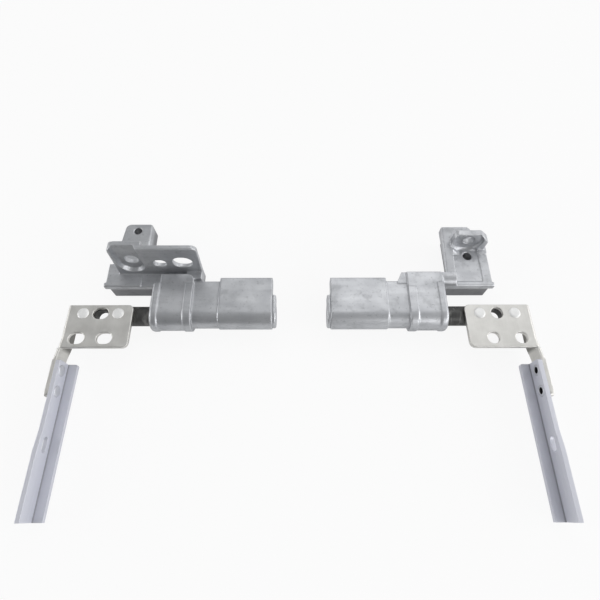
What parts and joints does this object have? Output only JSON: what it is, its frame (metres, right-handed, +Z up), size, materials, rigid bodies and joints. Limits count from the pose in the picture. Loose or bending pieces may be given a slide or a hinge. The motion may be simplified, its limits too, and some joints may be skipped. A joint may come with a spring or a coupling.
{
  "type": "laptop hinge pair",
  "caption": "Pair of laptop lid hinges: die-cast barrels with screw decks, black shafts, stamped leaves and riveted angle rails for the display.",
  "frame": {"origin": "bottom centre of the pair, on the plane of the deck blocks' undersides", "axes": "+X along the hinge axis to the right-hand hinge, +Y from the rails to the decks, +Z up"},
  "size_m": [0.1168, 0.0732, 0.0183],
  "materials": {
    "die_cast_zinc": "die-cast zinc, satin",
    "spring_steel": "hardened spring steel",
    "black_steel": "blackened and oiled",
    "nickel_steel": "satin nickel plate",
    "bright_steel": "bright peened heads",
    "aluminium_angle": "drawn, bare",
    "rivet_steel": "plain"
  },
  "bodies": {
    "base_castings": {"left_housing": "die_cast_zinc", "left_end_plug": "die_cast_zinc", "left_friction_clips": "spring_steel", "left_thrust_washer": "spring_steel", "right_housing": "die_cast_zinc", "right_end_plug": "die_cast_zinc", "right_friction_clips": "spring_steel", "right_thrust_washer": "spring_steel"},
    "left_arm": {"left_shaft": "black_steel", "left_retaining_ring": "spring_steel", "left_leaf": "nickel_steel", "left_tang_rivets": "bright_steel", "left_rail": "aluminium_angle", "left_rail_rivets": "rivet_steel"},
    "right_arm": {"right_shaft": "black_steel", "right_retaining_ring": "spring_steel", "right_leaf": "nickel_steel", "right_tang_rivets": "bright_steel", "right_rail": "aluminium_angle", "right_rail_rivets": "rivet_steel"}
  },
  "joints": [
    {"name": "left_lid_hinge", "type": "hinge", "parent": "base_castings", "child": "left_arm", "pos_m": [-0.0488, 0.00965, 0.0049], "axis": [-1, 0, 0], "range_deg": [0, 145]},
    {"name": "right_lid_hinge", "type": "hinge", "parent": "base_castings", "child": "right_arm", "pos_m": [0.0488, 0.00965, 0.0049], "axis": [-1, 0, 0], "range_deg": [0, 145]}
  ]
}
